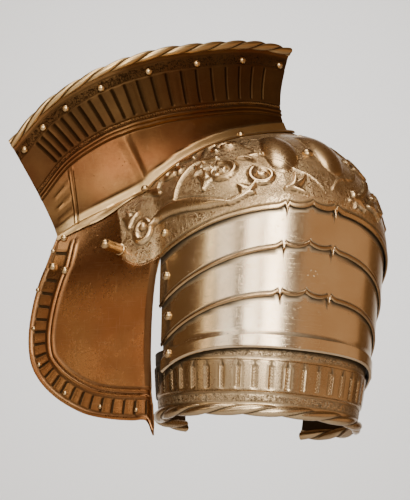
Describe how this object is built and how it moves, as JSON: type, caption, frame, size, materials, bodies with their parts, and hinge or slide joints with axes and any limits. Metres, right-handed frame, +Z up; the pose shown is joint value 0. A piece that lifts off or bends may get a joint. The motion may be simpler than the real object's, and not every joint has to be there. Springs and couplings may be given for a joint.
{
  "type": "pauldron",
  "caption": "Left pauldron: embossed shoulder plate with a front wing, a standing fluted neck guard with a roped rim, sliding lames and a roped lower lame",
  "frame": {"origin": "Where the plate sits on top of the wearer's shoulder, over the middle of the arm tube.", "axes": "+X out to the wearer's left side, -Y to the front (the wing), +Z up along the arm tube."},
  "size_m": [0.1809, 0.294, 0.3503],
  "materials": {
    "shoulder_steel": "polished",
    "guard_steel": "polished",
    "lame_steel": "polished",
    "lower_steel": "polished",
    "rivet_steel": "polished"
  },
  "bodies": {
    "shoulder": {"shoulder_plate": "shoulder_steel", "neck_guard": "guard_steel", "pivot_rivet_front_1": "rivet_steel", "pivot_rivet_rear_1": "rivet_steel", "rim_rivet_1": "rivet_steel", "rim_rivet_2": "rivet_steel", "rim_rivet_3": "rivet_steel", "rim_rivet_4": "rivet_steel", "rim_rivet_5": "rivet_steel", "rim_rivet_6": "rivet_steel", "rim_rivet_7": "rivet_steel", "rim_rivet_8": "rivet_steel", "flange_rivet_1": "rivet_steel", "flange_rivet_2": "rivet_steel", "flange_rivet_3": "rivet_steel", "wing_rivet_1": "rivet_steel", "wing_rivet_2": "rivet_steel", "lining_rivet_1": "rivet_steel", "lining_rivet_2": "rivet_steel", "lining_rivet_3": "rivet_steel", "lining_rivet_4": "rivet_steel", "lining_rivet_5": "rivet_steel", "lining_rivet_6": "rivet_steel", "lining_rivet_7": "rivet_steel", "centre_rivet": "rivet_steel", "pierced_stud": "rivet_steel"},
    "lame_1": {"lame_1": "lame_steel", "pivot_rivet_front_2": "rivet_steel", "pivot_rivet_rear_2": "rivet_steel"},
    "lame_2": {"lame_2": "lame_steel", "pivot_rivet_front_3": "rivet_steel", "pivot_rivet_rear_3": "rivet_steel"},
    "lame_3": {"lame_3": "lame_steel", "pivot_rivet_front_4": "rivet_steel", "pivot_rivet_rear_4": "rivet_steel"},
    "lower_lame": {"lower_lame": "lower_steel"}
  },
  "joints": [
    {"name": "lame_1_pivot", "type": "hinge", "parent": "shoulder", "child": "lame_1", "pos_m": [0.0185, 0, -0.1], "axis": [0, -1, 0], "range_deg": [0, 8]},
    {"name": "lame_2_pivot", "type": "hinge", "parent": "lame_1", "child": "lame_2", "pos_m": [0.0185, 0, -0.133], "axis": [0, -1, 0], "range_deg": [0, 8]},
    {"name": "lame_3_pivot", "type": "hinge", "parent": "lame_2", "child": "lame_3", "pos_m": [0.0185, 0, -0.164], "axis": [0, -1, 0], "range_deg": [0, 8]},
    {"name": "lower_lame_pivot", "type": "hinge", "parent": "lame_3", "child": "lower_lame", "pos_m": [0.0185, 0, -0.193], "axis": [0, -1, 0], "range_deg": [0, 8]}
  ]
}
